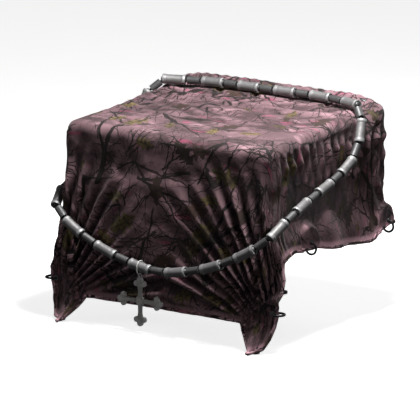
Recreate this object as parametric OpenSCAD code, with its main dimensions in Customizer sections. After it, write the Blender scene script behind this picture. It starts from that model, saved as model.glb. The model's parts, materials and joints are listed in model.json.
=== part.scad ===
// Layout field blind: a draped camouflage cover on a folding tube frame, with a
// heavy link chain laid round it, a hanging cross and six tie-down rings.
// Millimetres, +Z up, +Y to the back. The origin is at the bottom centre of the box
// that holds the whole object. Inside place() y = 0 is the cover's front face.

/* [Cover] */
// Width of the cover across its front face
cover_w = 760; // [740:5:800]
// Depth from the front face to the rear face
cover_d = 655; // [645:5:675]
// Height of the top's front edge above the ground
cover_h = 625; // [615:5:640]
// Thickness of the quilted cloth
cloth_t = 3; // [2:0.5:4]
// Height of the front hem above the ground
front_hem = 80; // [70:5:90]
// Radius of the cover's outer edges
edge_r = 30; // [26:1:32]
// How far the side and rear hems flare outwards
hem_flare = 25; // [15:1:28]

/* [Frame] */
// Outer radius of the rail tubes
rail_r = 11; // [10:0.5:11.5]
// Outer radius of the leg tubes
leg_r = 9; // [8:0.5:9.5]
// Wall thickness of the tubes
tube_wall = 1.5; // [1:0.25:2]
// Radius of the hinge pins
pin_r = 3.95; // [3:0.05:4.2]
// Radial running clearance round a hinge pin
pin_gap = 0.05; // [0.02:0.01:0.1]

/* [Chain] */
// Number of barrel links in the closed loop
link_count = 22; // [20:2:24]
// Radius of a barrel link at its two lobes
lobe_r = 16.5; // [14:0.5:17]
// Radius of the plain rod links
rod_r = 12; // [10:0.5:12.5]
// Distance between the two pivots of a barrel link
barrel_span = 62; // [54:1:64]

/* [Pendant and rings] */
// Reach of the cross from its middle to a side tip
cross_reach = 83; // [70:1:84]
// Thickness of the cross
cross_t = 8; // [6:1:10]
// Mean radius of a tie-down ring
ring_r = 18.5; // [17:0.5:19]
// Wire radius of a tie-down ring
ring_wire_r = 3.5; // [2:0.25:3.75]

/* [Hidden] */
$fn = 48;

pink = [0.62, 0.45, 0.48];
mauve = [0.42, 0.32, 0.35];
gunmetal = [0.35, 0.35, 0.36];
silver = [0.7, 0.7, 0.72];
black = [0.12, 0.12, 0.13];
half_w = cover_w / 2;

// The box's front is the flap tips and its back is the rear panel.
flap_reach = 74;
front_y = (flap_reach - cover_d) / 2;
module place() translate([0, front_y, 0]) children();
module both_sides() {
    children();
    mirror([1, 0, 0]) children();
}

// --- small geometry helpers ---
// A cylinder from point a to point b.
module bar(a, b, r) {
    d = b - a;
    translate(a)
        rotate([0, acos(d.z / norm(d)), atan2(d.y, d.x)])
            cylinder(h = norm(d), r = r);
}
module tube(a, b, r, wall) {
    u = (b - a) / norm(b - a);
    difference() {
        bar(a, b, r);
        bar(a - u, b + u, r - wall);
    }
}
// A cylinder along X, centred on the origin.
module disc(r, w) rotate([0, 90, 0]) cylinder(h = w, r = r, center = true);
// A ring of round wire, its axis along Z.
module wire_ring(r, wire) rotate_extrude() translate([r, 0]) circle(wire, $fn = 24);

// --- cover: sheets lofted through two matching grids of points, outside and inside ---
function flat_list(rows) = [for (row = rows) each row];
module sheet(outside, inside) {
    n = len(outside);
    m = len(outside[0]);
    function o(i, j) = i * m + j;
    function q(i, j) = n * m + i * m + j;
    function two(a, b, c, d) = [[a, b, c], [a, c, d]];
    skins = [for (i = [0 : n - 2], j = [0 : m - 2])
        each concat(two(o(i, j), o(i, j + 1), o(i + 1, j + 1), o(i + 1, j)),
            two(q(i, j), q(i + 1, j), q(i + 1, j + 1), q(i, j + 1)))];
    ends = [for (j = [0 : m - 2])
        each concat(two(q(0, j), q(0, j + 1), o(0, j + 1), o(0, j)),
            two(o(n - 1, j), o(n - 1, j + 1), q(n - 1, j + 1), q(n - 1, j)))];
    sides = [for (i = [0 : n - 2])
        each concat(two(o(i, 0), o(i + 1, 0), q(i + 1, 0), q(i, 0)),
            two(q(i, m - 1), q(i + 1, m - 1), o(i + 1, m - 1), o(i, m - 1)))];
    polyhedron(concat(flat_list(outside), flat_list(inside)), concat(skins, ends, sides));
}

// The top's height and the cover's half width along its depth: a gentle rise, a
// crease for the chain, then the raised back lobe.
crease_y = cover_d - 80;
crown = [[0, cover_h], [300, cover_h + 7], [crease_y - 15, cover_h + 22],
    [crease_y + 15, cover_h + 23], [crease_y + 31, cover_h + 43],
    [crease_y + 45, cover_h + 55], [cover_d, cover_h + 55]];
girth = [[0, half_w], [crease_y - 135, half_w], [crease_y - 75, half_w + 4],
    [crease_y + 25, half_w + 22], [cover_d, half_w + 22]];
corner_r = edge_r + 8;
roundness = [[0, corner_r], [crease_y - 170, corner_r], [crease_y - 90, corner_r + 24],
    [crease_y + 10, corner_r + 24], [crease_y + 45, corner_r], [cover_d, corner_r]];
flap_top = 262;
side_hem = [[0, flap_top], [edge_r, flap_top], [120, 288], [216, 278], [320, 262],
    [525, 242], [cover_d, 275]];
rear_hem = 275;
rear_rise = 6;
flare_height = 130;
function flare(above) = hem_flare * pow(max(0, 1 - above / flare_height), 2);

// A station is [centre of the edge's arc, angle round it, -1 front or 1 back].
stations = concat(
    [for (a = [0 : 22.5 : 67.5]) [edge_r, a, -1]],
    [for (y = [edge_r, 75, 120, 168, 216, 268, 320, 380, 440, 500]) [y, 90, -1]],
    [for (y = [crease_y - 15, crease_y + 15, crease_y + 31]) [y, 90, -1]],
    [for (a = [90 : -22.5 : 0]) [cover_d - edge_r, a, 1]]);
function station_y(s, inset) = s[0] + s[2] * (edge_r - inset) * cos(s[1]);
function shrink(s, inset) = edge_r - (edge_r - inset) * sin(s[1]);
function station_half(s, inset) = lookup(station_y(s, 0), girth) - shrink(s, inset);
function station_top(s, inset) = lookup(station_y(s, 0), crown) - shrink(s, inset);
function station_corner(s, inset) = lookup(station_y(s, 0), roundness) - shrink(s, inset);

top_columns = 6;
function top_row(s, inset) = let(h = station_half(s, inset) - station_corner(s, inset))
    [for (k = [0 : top_columns])
        [h * (2 * k / top_columns - 1), station_y(s, inset), station_top(s, inset)]];
wall_rows = 7;
function wall_row(s, inset) = let(
        half = station_half(s, inset),
        top = station_top(s, inset),
        r = station_corner(s, inset),
        hem = lookup(station_y(s, 0), side_hem),
        out = s[2] < 0 ? sin(s[1]) : 1)
    concat(
        [for (b = [90 : -30 : 30])
            [half - r + r * cos(b), station_y(s, inset), top - r + r * sin(b)]],
        [for (k = [0 : wall_rows]) let(z = top - r + (hem - top + r) * k / wall_rows)
            [half + out * flare(z - hem), station_y(s, inset), z]]);

module cover_top() {
    place() color(pink)
        sheet([for (s = stations) top_row(s, 0)], [for (s = stations) top_row(s, cloth_t)]);
}
module side_wall() {
    difference() {
        sheet([for (s = stations) wall_row(s, 0)],
            [for (s = stations) wall_row(s, cloth_t)]);
        for (eye = [side_eye, rear_eye])
            translate(eye) disc(eyelet_body_r, 40);
    }
}
module cover_right() {
    place() color(mauve) side_wall();
}
module cover_left() {
    place() color(mauve) mirror([1, 0, 0]) side_wall();
}

flap_inner = half_w - 90;
module cover_front() {
    upper = half_w - edge_r;
    corner = corner_r - edge_r;
    top = cover_h - edge_r;
    place() color(mauve)
        translate([0, cloth_t, 0])
            rotate([90, 0, 0])
                linear_extrude(cloth_t) {
                    translate([-upper, flap_top]) square([2 * upper, top - corner - flap_top]);
                    translate([corner - upper, flap_top])
                        square([2 * (upper - corner), top - flap_top]);
                    for (s = [-1, 1])
                        translate([s * (upper - corner), top - corner]) circle(corner);
                    translate([-flap_inner, front_hem])
                        square([2 * flap_inner, flap_top - front_hem]);
                }
}
module cover_rear() {
    edge = [for (p = wall_row(stations[len(stations) - 1], 0)) [p.x, p.z]];
    right = concat([[0, rear_hem + rear_rise], [edge[len(edge) - 1].x / 2, rear_hem + rear_rise]],
        [for (i = [len(edge) - 1 : -1 : 0]) edge[i]]);
    left = [for (i = [len(right) - 1 : -1 : 1]) [-right[i].x, right[i].y]];
    place() color(mauve)
        translate([0, cover_d, 0])
            rotate([90, 0, 0])
                linear_extrude(cloth_t) polygon(concat(right, left));
}

// A leg flap wraps a front corner below the side hem and kicks out to its tip. Each
// list gives a distance at a height above the ground.
flap_forward = [[0, flap_reach], [25, 56], [60, 26], [87, 12], [140, 4], [flap_top, 0]];
flap_back = [[0, -44], [40, -14], [118, -3], [177, 18], [225, 28], [flap_top, edge_r]];
flap_out = [[0, 8], [40, 18], [118, 35], [177, 38], [225, 38], [flap_top, hem_flare]];
flap_edge = [[0, flap_inner + 50], [front_hem, flap_inner], [flap_top, flap_inner]];
flap_heights = [0, 12, 25, 42, 60, front_hem, 100, 122, 150, 180, 220, flap_top];
function flap_row(z, inset) = let(
        x0 = lookup(z, flap_edge),
        x1 = half_w - edge_r,
        f = lookup(z, flap_forward),
        b = lookup(z, flap_back))
    concat(
        [for (k = [0 : 2]) [x0 + (x1 - x0) * k / 3, inset - f, z]],
        [for (a = [0 : 15 : 90])
            [x1 + (edge_r + lookup(z, flap_out)) * sin(a) - inset * sin(a),
                (b + f) * (1 - cos(a)) - f + inset * cos(a), z]]);
module leg_flap() {
    difference() {
        sheet([for (z = flap_heights) flap_row(z, 0)],
            [for (z = flap_heights) flap_row(z, cloth_t)]);
        translate(leg_eye) rotate([0, 0, 90]) disc(eyelet_body_r, 30);
    }
}
module leg_flap_right() {
    place() color(mauve) leg_flap();
}
module leg_flap_left() {
    place() color(mauve) mirror([1, 0, 0]) leg_flap();
}

// --- hem eyelets and the rings that swing in them ---
eye_rise = 20;
eyelet_r = 4.8;
eyelet_body_r = 6.2;
eyelet_flange_r = 9;
side_eye = [half_w + flare(eye_rise) - cloth_t / 2, 216, lookup(216, side_hem) + eye_rise];
rear_eye_y = cover_d - 24;
rear_eye = [lookup(rear_eye_y, girth) + flare(eye_rise) - cloth_t / 2, rear_eye_y,
    lookup(rear_eye_y, side_hem) + eye_rise];
leg_eye = [half_w + 23, -3.6, 122];
module eyelet() {
    rotate([0, 90, 0])
        difference() {
            union() {
                cylinder(h = 8, r = eyelet_body_r, center = true);
                for (z = [-4, 4])
                    translate([0, 0, z]) cylinder(h = 1.5, r = eyelet_flange_r, center = true);
            }
            cylinder(h = 12, r = eyelet_r, center = true);
        }
}
module hem_eyelets() {
    place() color(gunmetal)
        both_sides() {
            translate(side_eye) eyelet();
            translate(rear_eye) eyelet();
            translate(leg_eye) rotate([0, 0, 90]) eyelet();
        }
}
module hanging_ring(eye)
    translate(eye - [0, 0, ring_r]) rotate([90, 0, 0]) wire_ring(ring_r, ring_wire_r);
module leg_ring()
    translate(leg_eye + [ring_r, 0, 0]) wire_ring(ring_r, ring_wire_r);
module ring_side_right() {
    place() color(gunmetal) hanging_ring(side_eye);
}
module ring_side_left() {
    place() color(gunmetal) mirror([1, 0, 0]) hanging_ring(side_eye);
}
module ring_rear_right() {
    place() color(gunmetal) hanging_ring(rear_eye);
}
module ring_rear_left() {
    place() color(gunmetal) mirror([1, 0, 0]) hanging_ring(rear_eye);
}
module ring_leg_right() {
    place() color(silver) leg_ring();
}
module ring_leg_left() {
    place() color(silver) mirror([1, 0, 0]) leg_ring();
}

// --- top frame ---
rail_x = half_w - 30;
rail_z = cover_h - 28;
front_bar_y = 26;
rear_bar_y = cover_d - 37;
arm = 24;
stub = 18;
stub_gap = 0.1;
core_r = 14;
bow_socket = 20;
bow_plug = 34;
bow_r = 8;
bow_z = cover_h + 37;
bow_bend = 24;
module front_crossbar() {
    e = rail_x - arm;
    place() color(black)
        tube([-e, front_bar_y, rail_z], [e, front_bar_y, rail_z], rail_r, tube_wall);
}
module rear_crossbar() {
    e = rail_x - arm;
    place() color(black)
        tube([-e, rear_bar_y, rail_z], [e, rear_bar_y, rail_z], rail_r, tube_wall);
}
module side_rail(side) {
    place() color(black)
        tube([side * rail_x, front_bar_y + arm, rail_z],
            [side * rail_x, rear_bar_y - arm, rail_z], rail_r, tube_wall);
}
module side_rail_left() side_rail(-1);
module side_rail_right() side_rail(1);
module rear_bow() {
    foot_z = rail_z + bow_socket;
    bend_z = bow_z - bow_bend;
    place() color(black)
        translate([0, rear_bar_y, 0]) {
            both_sides() {
                tube([rail_x, 0, foot_z], [rail_x, 0, bend_z], bow_r, tube_wall);
                translate([rail_x - bow_bend, 0, bend_z])
                    rotate([90, 0, 0])
                        rotate_extrude(angle = 90)
                            translate([bow_bend, 0])
                                difference() {
                                    circle(bow_r);
                                    circle(bow_r - tube_wall);
                                }
            }
            tube([bow_bend - rail_x, 0, bow_z], [rail_x - bow_bend, 0, bow_z], bow_r, tube_wall);
        }
}

// Arms and plugs that a corner bracket pushes into the rail ends.
module bracket_arm(dir) {
    bar([0, 0, 0], dir * arm, rail_r);
    bar([0, 0, 0], dir * (arm + stub), rail_r - tube_wall - stub_gap);
}
ear_gap = 5.5;
ear_t = 4;
ear_r = 11;
// Two ears that hang below a bracket and hold a hinge pin along X at `drop`.
module clevis(drop) {
    difference() {
        for (s = [-1, 1])
            translate([s * (ear_gap + ear_t / 2), 0, 0]) {
                translate([-ear_t / 2, drop.y - ear_r, drop.z])
                    cube([ear_t, 2 * ear_r, -drop.z]);
                translate(drop) disc(ear_r, ear_t);
            }
        translate(drop) disc(pin_r + pin_gap, 40);
    }
}
front_hinge = [rail_x, front_bar_y + 4, cover_h - 57];
rear_hinge = [0, rear_bar_y - 12, cover_h - 90];
module front_bracket(side) {
    place() color(gunmetal)
        mirror([side < 0 ? 1 : 0, 0, 0])
            translate([rail_x, front_bar_y, rail_z]) {
                translate([0, 0, -core_r]) cylinder(r = core_r, h = 2 * core_r);
                bracket_arm([-1, 0, 0]);
                bracket_arm([0, 1, 0]);
                clevis(front_hinge - [rail_x, front_bar_y, rail_z]);
            }
}
module front_bracket_left() front_bracket(-1);
module front_bracket_right() front_bracket(1);
module rear_bracket(side) {
    place() color(gunmetal)
        mirror([side < 0 ? 1 : 0, 0, 0])
            translate([rail_x, rear_bar_y, rail_z]) {
                translate([0, 0, -core_r]) cylinder(r = core_r, h = 2 * core_r);
                bracket_arm([-1, 0, 0]);
                bracket_arm([0, -1, 0]);
                bar([0, 0, 0], [0, 0, bow_socket], rail_r);
                bar([0, 0, 0], [0, 0, bow_plug], bow_r - tube_wall - stub_gap);
            }
}
module rear_bracket_left() rear_bracket(-1);
module rear_bracket_right() rear_bracket(1);
clamp_w = 36;
module rear_hinge_clamp() {
    place() color(gunmetal)
        difference() {
            translate([0, rear_bar_y, rail_z]) {
                disc(rail_r + 5, clamp_w);
                clevis(rear_hinge - [0, rear_bar_y, rail_z]);
            }
            translate([0, rear_bar_y, rail_z]) disc(rail_r + pin_gap, 2 * clamp_w);
        }
}

// Hinge bolts, with the head outside the ears and the thread inside the knob.
head_r = 7;
head_t = 3;
bolt_reach = 22;
module hinge_pin() {
    ear_face = ear_gap + ear_t;
    bar([-bolt_reach, 0, 0], [ear_face + head_t, 0, 0], pin_r);
    translate([ear_face + 0.2 + head_t / 2, 0, 0]) disc(head_r, head_t);
}
module front_hinge_pins() {
    place() color(silver) both_sides() translate(front_hinge) hinge_pin();
}
module rear_hinge_pin() {
    place() color(silver) translate(rear_hinge) hinge_pin();
}
// Clamping knobs with a scalloped rim.
knob_r = 11;
knob_w = 14;
module hinge_knob() {
    knob_x = -(ear_gap + ear_t + 0.4 + knob_w / 2);
    translate([knob_x, 0, 0])
        difference() {
            disc(knob_r, knob_w);
            for (a = [30 : 60 : 330])
                rotate([a, 0, 0]) translate([0, knob_r + 2, 0]) disc(4, 2 * knob_w);
            disc(pin_r + pin_gap, 2 * knob_w);
        }
}
module hinge_knob_right() {
    place() color(black) translate(front_hinge) hinge_knob();
}
module hinge_knob_left() {
    place() color(black) mirror([1, 0, 0]) translate(front_hinge) hinge_knob();
}
module hinge_knob_rear() {
    place() color(black) translate(rear_hinge) hinge_knob();
}

// --- webbing that carries the top, and wraps that tie the cover to the rails ---
strap_w = 40;
strap_t = 2;
strap_gap = 0.1;
module top_webbing() {
    place() color(black)
        for (x = [-0.72, -0.25, 0.25, 0.72] * rail_x)
            translate([x, 0, rail_z]) {
                for (y = [front_bar_y, rear_bar_y])
                    translate([0, y, 0])
                        difference() {
                            disc(rail_r + strap_gap + strap_t, strap_w);
                            disc(rail_r + strap_gap, 2 * strap_w);
                        }
                translate([-strap_w / 2, front_bar_y, rail_r + strap_gap])
                    cube([strap_w, rear_bar_y - front_bar_y, strap_t]);
            }
}
module cover_ties() {
    tie_w = 25;
    place() color(black)
        both_sides()
            for (y = [140, 300, 460])
                translate([rail_x, y, rail_z]) {
                    rotate([0, 0, 90])
                        difference() {
                            disc(rail_r + strap_gap + strap_t, tie_w);
                            disc(rail_r + strap_gap, 2 * tie_w);
                        }
                    translate([-6, -tie_w / 2, rail_r + 1])
                        cube([strap_t, tie_w, cover_h - cloth_t - rail_z - rail_r - 1.5]);
                }
}

// --- front legs: a U-frame that hinges back under the top ---
leg_bend = [half_w - 20, 20, 90];
leg_foot = [half_w - 18, -36, 4];
tie_z = 120;
tie_at = front_hinge + (leg_bend - front_hinge) * (front_hinge.z - tie_z) / (front_hinge.z - leg_bend.z);
tie_r = 8;
eye_r = 10;
eye_w = 2 * ear_gap - 0.6;
slip = 0.05;
tube_start = 22;
// The hinge eye, its neck, and the plug that fills the top of a leg's tube.
module leg_top(hinge, down, r) {
    translate(hinge) disc(eye_r, eye_w);
    bar(hinge + down * 7, hinge + down * 30, ear_gap - 0.5);
    bar(hinge + down * (tube_start - 2), hinge + down * (tube_start + 18), r - tube_wall / 2);
}
module front_leg() {
    down = (leg_bend - front_hinge) / norm(leg_bend - front_hinge);
    difference() {
        union() {
            leg_top(front_hinge, down, leg_r);
            tube(front_hinge + down * tube_start, leg_bend, leg_r, tube_wall);
            translate(leg_bend) disc(leg_r + 2, 2 * leg_r + 3);
            tube_end(leg_bend, leg_foot, leg_r, tube_wall);
        }
        translate(front_hinge) disc(pin_r + pin_gap, 40);
    }
}
module tube_end(a, b, r, wall) {
    difference() {
        bar(a, b, r);
        bar(a, b + (b - a), r - wall);
    }
}
module front_leg_right() {
    place() color(black) front_leg();
}
module front_leg_left() {
    place() color(black) mirror([1, 0, 0]) front_leg();
}
collar_r = leg_r + 3;
module front_tie_bar() {
    e = tie_at.x - collar_r - 1;
    place() color(black)
        tube([-e, tie_at.y, tie_z], [e, tie_at.y, tie_z], tie_r, tube_wall);
}
module tie_bar_collars() {
    along = (front_hinge - leg_bend) / norm(front_hinge - leg_bend);
    place() color(gunmetal)
        both_sides()
            difference() {
                union() {
                    bar(tie_at - along * 13, tie_at + along * 13, collar_r);
                    bar(tie_at, tie_at - [30, 0, 0], tie_r + 3);
                }
                bar(tie_at - along * 30, tie_at + along * 30, leg_r + slip);
                bar(tie_at - [collar_r + 1, 0, 0], tie_at - [60, 0, 0], tie_r + slip);
            }
}
cap_r = leg_r + 3;
module front_feet() {
    up = (leg_bend - leg_foot) / norm(leg_bend - leg_foot);
    place() color(black)
        both_sides()
            difference() {
                bar(leg_foot - up * 30, leg_foot + up * 30, cap_r);
                bar(leg_foot, leg_foot + up * 60, leg_r + slip);
                translate([leg_foot.x - 50, leg_foot.y - 60, -60]) cube([100, 120, 60]);
            }
}

// --- rear leg: a single post that hinges forward under the top ---
rear_foot_at = [0, rear_hinge.y + 16, 0];
rear_leg_r = 10;
module rear_leg() {
    down = (rear_foot_at - rear_hinge) / norm(rear_foot_at - rear_hinge);
    place() color(black)
        difference() {
            union() {
                leg_top(rear_hinge, down, rear_leg_r);
                tube(rear_hinge + down * tube_start, rear_foot_at - down * 8, rear_leg_r, tube_wall);
            }
            translate(rear_hinge) disc(pin_r + pin_gap, 40);
        }
}
module rear_foot() {
    foot_w = 96;
    foot_d = 34;
    foot_t = 7;
    up = (rear_hinge - rear_foot_at) / norm(rear_hinge - rear_foot_at);
    place() color(black)
        difference() {
            union() {
                for (s = [-1, 1])
                    translate([s * (foot_w - foot_d) / 2, rear_foot_at.y, 0])
                        cylinder(h = foot_t, r = foot_d / 2);
                translate([(foot_d - foot_w) / 2, rear_foot_at.y - foot_d / 2, 0])
                    cube([foot_w - foot_d, foot_d, foot_t]);
                translate([0, rear_foot_at.y, 0]) cylinder(h = 36, r = rear_leg_r + 4.5);
            }
            bar(rear_foot_at + up * 8, rear_foot_at + up * 60, rear_leg_r + slip);
        }
}

// --- chain: a closed loop of barrels and ball-ended rods ---
// Right half of the loop from front centre to rear centre, as shares of the cover's
// half width, depth and height.
chain_shape = [
    [0, -0.049, 0.326], [0.174, -0.049, 0.334], [0.5, -0.049, 0.386], [0.803, -0.05, 0.47],
    [1.03, -0.026, 0.563], [1.09, 0.076, 0.64], [1.083, 0.282, 0.704], [1.083, 0.489, 0.76],
    [1.088, 0.65, 0.835], [1.076, 0.73, 0.95], [1.0, 0.794, 1.06], [0.763, 0.856, 1.067],
    [0.5, 0.88, 1.07], [0, 0.883, 1.07]];
half_loop = [for (p = chain_shape) [p.x * half_w, p.y * cover_d, p.z * cover_h]];
mirrored = [for (i = [len(half_loop) - 2 : -1 : 1]) [-half_loop[i].x, half_loop[i].y, half_loop[i].z]];
guide = concat(half_loop, mirrored);
guide_n = len(guide);
function guide_at(i) = guide[(i + guide_n) % guide_n];
// A smooth closed curve through the guide points.
function spline(a, b, c, d, t) =
    0.5 * ((2 * b) + (c - a) * t + (2 * a - 5 * b + 4 * c - d) * t * t
        + (3 * b - a - 3 * c + d) * t * t * t);
steps = 8;
path = [for (i = [0 : guide_n - 1], k = [0 : steps - 1])
    spline(guide_at(i - 1), guide_at(i), guide_at(i + 1), guide_at(i + 2), k / steps)];
path_n = len(path);
function path_at(i) = path[i % path_n];
function running(i, total) =
    i == path_n ? [total] : concat([total], running(i + 1, total + norm(path_at(i + 1) - path_at(i))));
distance = running(0, 0);
loop_length = distance[path_n];
pitch = loop_length / link_count;
function find_step(s, low, high) = high - low <= 1 ? low
    : let(mid = floor((low + high) / 2))
        distance[mid] <= s ? find_step(s, mid, high) : find_step(s, low, mid);
function along_loop(s) = let(
        w = s - loop_length * floor(s / loop_length),
        i = find_step(w, 0, path_n),
        t = (w - distance[i]) / (distance[i + 1] - distance[i]))
    path_at(i) * (1 - t) + path_at(i + 1) * t;
// Barrels sit half a pitch either side of the front centre.
function barrel_mid(i) = (i + 0.5) * pitch;
function pivot_a(i) = along_loop(barrel_mid(i) - barrel_span / 2);
function pivot_b(i) = along_loop(barrel_mid(i) + barrel_span / 2);
loop_centre = [0, cover_d * 0.42, cover_h * 0.7];
function outward(i) = let(
        d = (pivot_b(i) - pivot_a(i)) / norm(pivot_b(i) - pivot_a(i)),
        v = barrel_centre(i) - loop_centre,
        w = v - d * (v * d))
    w / norm(w);
function barrel_centre(i) = (pivot_a(i) + pivot_b(i)) / 2;
socket_r = 12;
ball_r = socket_r - 0.4;
neck_r = 4.5;
shoulder = 15.5;
mouth = 6;
waist_r = lobe_r - 1.5;
link_pin_r = 3;
// Turns a profile round the line from point a to point b; its second axis starts at a.
module turned(a, b) {
    d = b - a;
    translate(a)
        rotate([0, acos(d.z / norm(d)), atan2(d.y, d.x)])
            rotate_extrude($fn = 32) children();
}
module barrel_profile() {
    difference() {
        union() {
            intersection() {
                for (z = [0, barrel_span])
                    translate([0, z]) circle(lobe_r);
                translate([0, -mouth]) square([lobe_r, barrel_span + 2 * mouth]);
            }
            square([waist_r, barrel_span]);
        }
        for (z = [-mouth - 1, barrel_span - 14])
            translate([-1, z]) square([socket_r + 1, mouth + 15]);
    }
}
module rod_profile(length) {
    for (z = [0, length])
        intersection() {
            translate([0, z]) circle(ball_r);
            translate([0, -ball_r]) square([ball_r, length + 2 * ball_r]);
        }
    square([neck_r, length]);
    translate([0, shoulder]) square([rod_r, length - 2 * shoulder]);
}
module pin_hole(at, dir) bar(at - dir * 30, at + dir * 30, link_pin_r + 0.1);
module chain_barrels() {
    place() color(gunmetal)
        for (i = [0 : link_count - 1])
            difference() {
                turned(pivot_a(i), pivot_b(i)) barrel_profile();
                pin_hole(pivot_a(i), outward(i));
            }
}
module chain_rods() {
    place() color(silver)
        for (i = [0 : link_count - 1]) {
            next = (i + 1) % link_count;
            difference() {
                turned(pivot_b(i), pivot_a(next)) rod_profile(norm(pivot_a(next) - pivot_b(i)));
                pin_hole(pivot_a(next), outward(next));
            }
        }
}
module chain_pins() {
    place() color(gunmetal)
        for (i = [0 : link_count - 1])
            bar(pivot_a(i) - outward(i) * (lobe_r - 1.5), pivot_a(i) + outward(i) * (lobe_r - 1.5),
                link_pin_r);
}

// --- pendant: a wire bail round the left front barrel, and a budded cross ---
hung_link = link_count - 1;
bail_at = barrel_centre(hung_link);
bail_wire = 1.8;
bail_r = waist_r + 3.5;
bail_drop = 7;
module pendant_bail() {
    place() color(silver)
        translate(bail_at)
            rotate([90, 0, 90]) {
                rotate_extrude(angle = 180) translate([bail_r, 0]) circle(bail_wire, $fn = 24);
                translate([0, -bail_drop, 0])
                    rotate([0, 0, 180])
                        rotate_extrude(angle = 180)
                            translate([bail_r, 0]) circle(bail_wire, $fn = 24);
                for (s = [-1, 1])
                    bar([s * bail_r, -bail_drop, 0], [s * bail_r, 0, 0], bail_wire, $fn = 24);
            }
}
cross_eye_r = 6.2;
cross_eye_wire = 2;
cross_hang = bail_at - [0, 0, bail_r + bail_drop];
cross_eye = cross_hang - [0, 0, cross_eye_r - cross_eye_wire - bail_wire - 0.2];
cross_top = cross_reach - 7;
cross_mid = cross_eye - [0, 0, cross_eye_r + cross_top - 1];
module cross_arm(reach) {
    polygon([[-7, 0], [-5.5, reach * 0.45], [-10, reach - 18], [10, reach - 18],
        [5.5, reach * 0.45], [7, 0]]);
    translate([0, reach - 10]) circle(10);
    for (s = [-1, 1])
        translate([s * 13, reach - 21]) circle(9);
}
module pendant_cross() {
    place() color(silver) {
        translate(cross_mid) {
            rotate([90, 0, 0])
                linear_extrude(cross_t, center = true) {
                    cross_arm(cross_top);
                    rotate(180) cross_arm(cross_reach - 3);
                    rotate(90) cross_arm(cross_reach);
                    rotate(-90) cross_arm(cross_reach);
                    square(24, center = true);
                }
            rotate([90, 0, 0]) cylinder(h = cross_t + 5, r = 11, center = true);
        }
        translate(cross_eye) rotate([90, 0, 0]) wire_ring(cross_eye_r, cross_eye_wire);
    }
}

cover_top();
cover_front();
cover_left();
cover_right();
cover_rear();
leg_flap_left();
leg_flap_right();
cover_ties();
hem_eyelets();
top_webbing();
front_crossbar();
rear_crossbar();
side_rail_left();
side_rail_right();
rear_bow();
front_bracket_left();
front_bracket_right();
rear_bracket_left();
rear_bracket_right();
rear_hinge_clamp();
front_hinge_pins();
rear_hinge_pin();
front_leg_left();
front_leg_right();
front_tie_bar();
tie_bar_collars();
front_feet();
rear_leg();
rear_foot();
hinge_knob_left();
hinge_knob_right();
hinge_knob_rear();
chain_barrels();
chain_rods();
chain_pins();
pendant_bail();
pendant_cross();
ring_leg_left();
ring_leg_right();
ring_side_left();
ring_side_right();
ring_rear_left();
ring_rear_right();
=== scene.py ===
# The look of the layout field blind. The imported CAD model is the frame, in metres:
# this script hangs one sheet of camouflage cloth over it, finishes the sheet's
# edge, gives every part its material, and sets the stage.
import json
import math
import bpy
import numpy as np
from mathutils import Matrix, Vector


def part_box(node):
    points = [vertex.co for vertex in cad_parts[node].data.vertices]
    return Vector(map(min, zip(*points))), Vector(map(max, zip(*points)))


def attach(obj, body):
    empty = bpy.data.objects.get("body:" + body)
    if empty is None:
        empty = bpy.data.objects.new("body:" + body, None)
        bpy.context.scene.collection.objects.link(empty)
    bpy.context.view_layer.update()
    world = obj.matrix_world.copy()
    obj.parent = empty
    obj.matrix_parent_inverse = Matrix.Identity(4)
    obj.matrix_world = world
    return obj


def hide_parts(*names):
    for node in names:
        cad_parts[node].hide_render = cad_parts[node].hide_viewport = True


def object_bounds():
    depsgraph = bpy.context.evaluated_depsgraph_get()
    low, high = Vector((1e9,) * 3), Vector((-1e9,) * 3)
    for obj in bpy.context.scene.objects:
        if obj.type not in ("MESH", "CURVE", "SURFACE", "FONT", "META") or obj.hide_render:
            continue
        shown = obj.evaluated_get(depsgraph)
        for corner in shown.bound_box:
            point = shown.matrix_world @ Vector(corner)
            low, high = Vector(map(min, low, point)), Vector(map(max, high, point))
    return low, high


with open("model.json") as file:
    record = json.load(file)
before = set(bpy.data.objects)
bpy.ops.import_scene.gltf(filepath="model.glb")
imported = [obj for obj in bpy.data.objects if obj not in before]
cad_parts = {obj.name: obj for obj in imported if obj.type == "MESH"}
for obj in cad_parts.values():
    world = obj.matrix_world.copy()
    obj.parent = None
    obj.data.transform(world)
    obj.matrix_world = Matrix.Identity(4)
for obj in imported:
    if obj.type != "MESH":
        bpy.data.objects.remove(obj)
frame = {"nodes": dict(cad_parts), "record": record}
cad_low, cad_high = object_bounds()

NODES = frame["nodes"]
TAU = 2 * math.pi

# --- sizes, in metres. The cover's own y runs back from its front face ---
EDGE = 0.030                        # radius of the cover's edges
CORNER = 0.012                      # plan radius of the corners inside that edge
FLARE = 0.025                       # how far the side hems stand out
REAR_FLARE = 0.22                   # how far the rear hem stands out, as a share of that
FLARE_H = 0.130                     # height above a hem where its flare begins
front_lo, front_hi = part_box("cover_front")
rear_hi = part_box("cover_rear")[1]
FRONT_Y = front_lo[1]
HALF_W = front_hi[0] + EDGE
TOP_Z = front_hi[2] + EDGE
DEPTH = rear_hi[1] - FRONT_Y
CREASE = DEPTH - 0.080              # where the chain lies across the top
FLAP_TOP = 0.262                    # height where a leg flap leaves the side hem
FRONT_HEM = 0.080
REAR_HEM = 0.275
FLAP_INNER = HALF_W - 0.090         # a leg flap's inner edge, at the front hem
CLOTH_THICK = 0.0022
HEM_RADIUS = 0.0055                 # of the rolled hem
FOOT_X, FOOT_Z = 0.405, 0.035       # where the front's folds meet, beside each foot
CHAIN_CLEARANCE = 0.0205            # from the chain's middle line to the cloth
LEG_CLEARANCE = 0.0035              # how far a side may lean in, towards the folded legs
EYELET_HOLE = 0.0062                # radius of the hole in the cloth
CLAMPED, FREE = 0.030, 0.062        # cloth this near an eyelet is flat, and this far is not
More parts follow.
